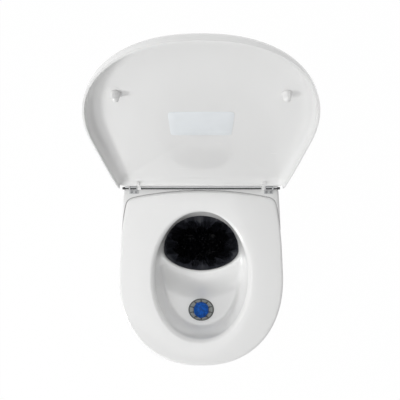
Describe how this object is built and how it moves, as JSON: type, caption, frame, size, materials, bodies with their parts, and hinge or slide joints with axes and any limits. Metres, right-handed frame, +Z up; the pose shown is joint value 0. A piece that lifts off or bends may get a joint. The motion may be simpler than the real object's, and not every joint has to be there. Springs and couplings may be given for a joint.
{
  "type": "urine-diverting dry toilet",
  "caption": "Floor-standing dry toilet with a divided seat insert, drained front basin, lined solids container behind it, vent fan and a dished hinged lid.",
  "frame": {"origin": "floor level, on the mid plane, halfway along the casing", "axes": "+Z up, -Y to the front, +X to the left of a person who sits on it"},
  "size_m": [0.389, 0.5283, 0.8119],
  "materials": {
    "shell_white": "fine satin moulding",
    "gloss_white": "glossy moulding",
    "plastic_pale": "satin moulding",
    "plastic_grey": "satin moulding",
    "plastic_dark": "satin moulding",
    "rubber_dark": "matt",
    "block_blue": "satin",
    "steel": "brushed",
    "bag_black": "thin glossy film"
  },
  "bodies": {
    "casing": {"outer_housing": "shell_white", "base_tray": "shell_white", "base_pads": "rubber_dark", "insert_seal": "rubber_dark", "hinge_rod": "steel", "rod_end_caps": "rubber_dark", "hinge_brackets": "plastic_pale", "hinge_screws": "steel", "fan_frame": "plastic_dark", "fan_guard": "steel", "fan_screws": "steel", "rear_cover": "shell_white", "cover_screws": "steel", "vent_spigot": "shell_white", "power_inlet": "plastic_dark"},
    "insert": {"seat_insert": "gloss_white", "drain_funnel": "plastic_grey", "funnel_seal": "rubber_dark"},
    "strainer": {"strainer": "plastic_grey"},
    "block": {"cleaning_block": "block_blue"},
    "lid": {"lid_shell": "gloss_white", "lid_bumpers": "plastic_pale", "lid_clips": "gloss_white"},
    "bin": {"solids_container": "plastic_grey", "waste_bag": "bag_black", "bag_ring": "plastic_grey"},
    "can": {"urine_container": "plastic_pale", "float_guide": "plastic_grey"},
    "float": {"level_float": "block_blue"},
    "fan": {"fan_impeller": "plastic_dark"}
  },
  "joints": [
    {"name": "lid_hinge", "type": "hinge", "parent": "casing", "child": "lid", "pos_m": [0, 0.145, 0.4235], "axis": [-1, 0, 0], "range_deg": [-105, 0]},
    {"name": "insert_lift", "type": "slide", "parent": "casing", "child": "insert", "axis": [0, 0, 1], "range_m": [0, 0.4]},
    {"name": "bin_lift", "type": "slide", "parent": "casing", "child": "bin", "axis": [0, 0, 1], "range_m": [0, 0.2]},
    {"name": "can_lift", "type": "slide", "parent": "casing", "child": "can", "axis": [0, 0, 1], "range_m": [0, 0.16]},
    {"name": "strainer_lift", "type": "slide", "parent": "insert", "child": "strainer", "axis": [0, 0, 1], "range_m": [0, 0.06]},
    {"name": "block_lift", "type": "slide", "parent": "strainer", "child": "block", "axis": [0, 0, 1], "range_m": [0, 0.04]},
    {"name": "float_rise", "type": "slide", "parent": "can", "child": "float", "axis": [0, 0, 1], "range_m": [0, 0.17]},
    {"name": "fan_spin", "type": "hinge", "parent": "casing", "child": "fan", "pos_m": [0, 0.235, 0.3], "axis": [0, 1, 0], "continuous": true}
  ],
  "couplings": [
    {"joint": "bin_lift", "follows": "insert_lift", "ratio": 0.5},
    {"joint": "can_lift", "follows": "insert_lift", "ratio": 0.4}
  ]
}
